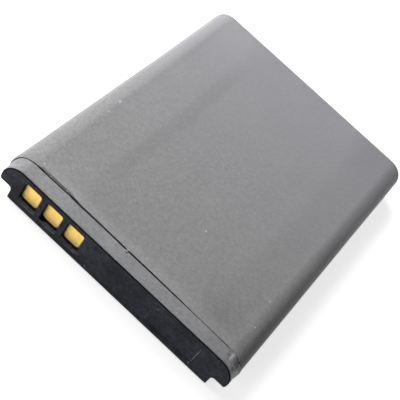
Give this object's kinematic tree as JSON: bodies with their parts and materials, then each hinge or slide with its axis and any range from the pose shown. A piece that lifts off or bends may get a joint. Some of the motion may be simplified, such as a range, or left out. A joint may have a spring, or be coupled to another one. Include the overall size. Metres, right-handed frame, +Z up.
{
  "type": "rechargeable battery pack",
  "caption": "Flat rechargeable pack with rounded sides: film-wrapped sealed cell and a black moulded end with recessed gold contact pads and notched lower corners.",
  "frame": {"origin": "middle of the broad face that the pack lies on", "axes": "+X across the width, +Y along the length away from the contact end, +Z up through the thickness"},
  "size_m": [0.034, 0.045, 0.0052],
  "materials": {
    "black_moulding": "satin moulded, near black with a blue cast",
    "wrap_film": "satin grey film with fine metallic speckle",
    "collar_film": "smooth grey film",
    "can_metal": "drawn aluminium",
    "gold_plating": "gold plated, lightly worn",
    "board_laminate": "green solder mask",
    "package_moulding": "moulded chip package",
    "chip_ceramic": "ceramic chip with plated ends",
    "nickel_strip": "rolled nickel",
    "fuse_polymer": "coated polymer",
    "gasket_plastic": "natural moulding",
    "insulating_card": "fibre card",
    "adhesive_tape": "double-sided tape"
  },
  "bodies": {
    "root": {"front_cap": "black_moulding", "rear_cap": "black_moulding", "wrap_label": "wrap_film", "collar_band": "collar_film", "sealed_cell": "can_metal", "rear_tape": "adhesive_tape", "protection_board": "board_laminate", "contact_positive": "gold_plating", "contact_signal": "gold_plating", "contact_negative": "gold_plating", "protection_ic": "package_moulding", "switch_transistor": "package_moulding", "thermistor": "chip_ceramic", "filter_capacitor": "chip_ceramic", "supply_resistor": "chip_ceramic", "sense_resistor": "chip_ceramic", "tab_positive": "nickel_strip", "tab_negative": "nickel_strip", "fuse_lead": "nickel_strip", "thermal_fuse": "fuse_polymer", "terminal_rivet": "nickel_strip", "terminal_gasket": "gasket_plastic", "fill_plug": "can_metal", "lid_insulator": "insulating_card"}
  },
  "joints": []
}
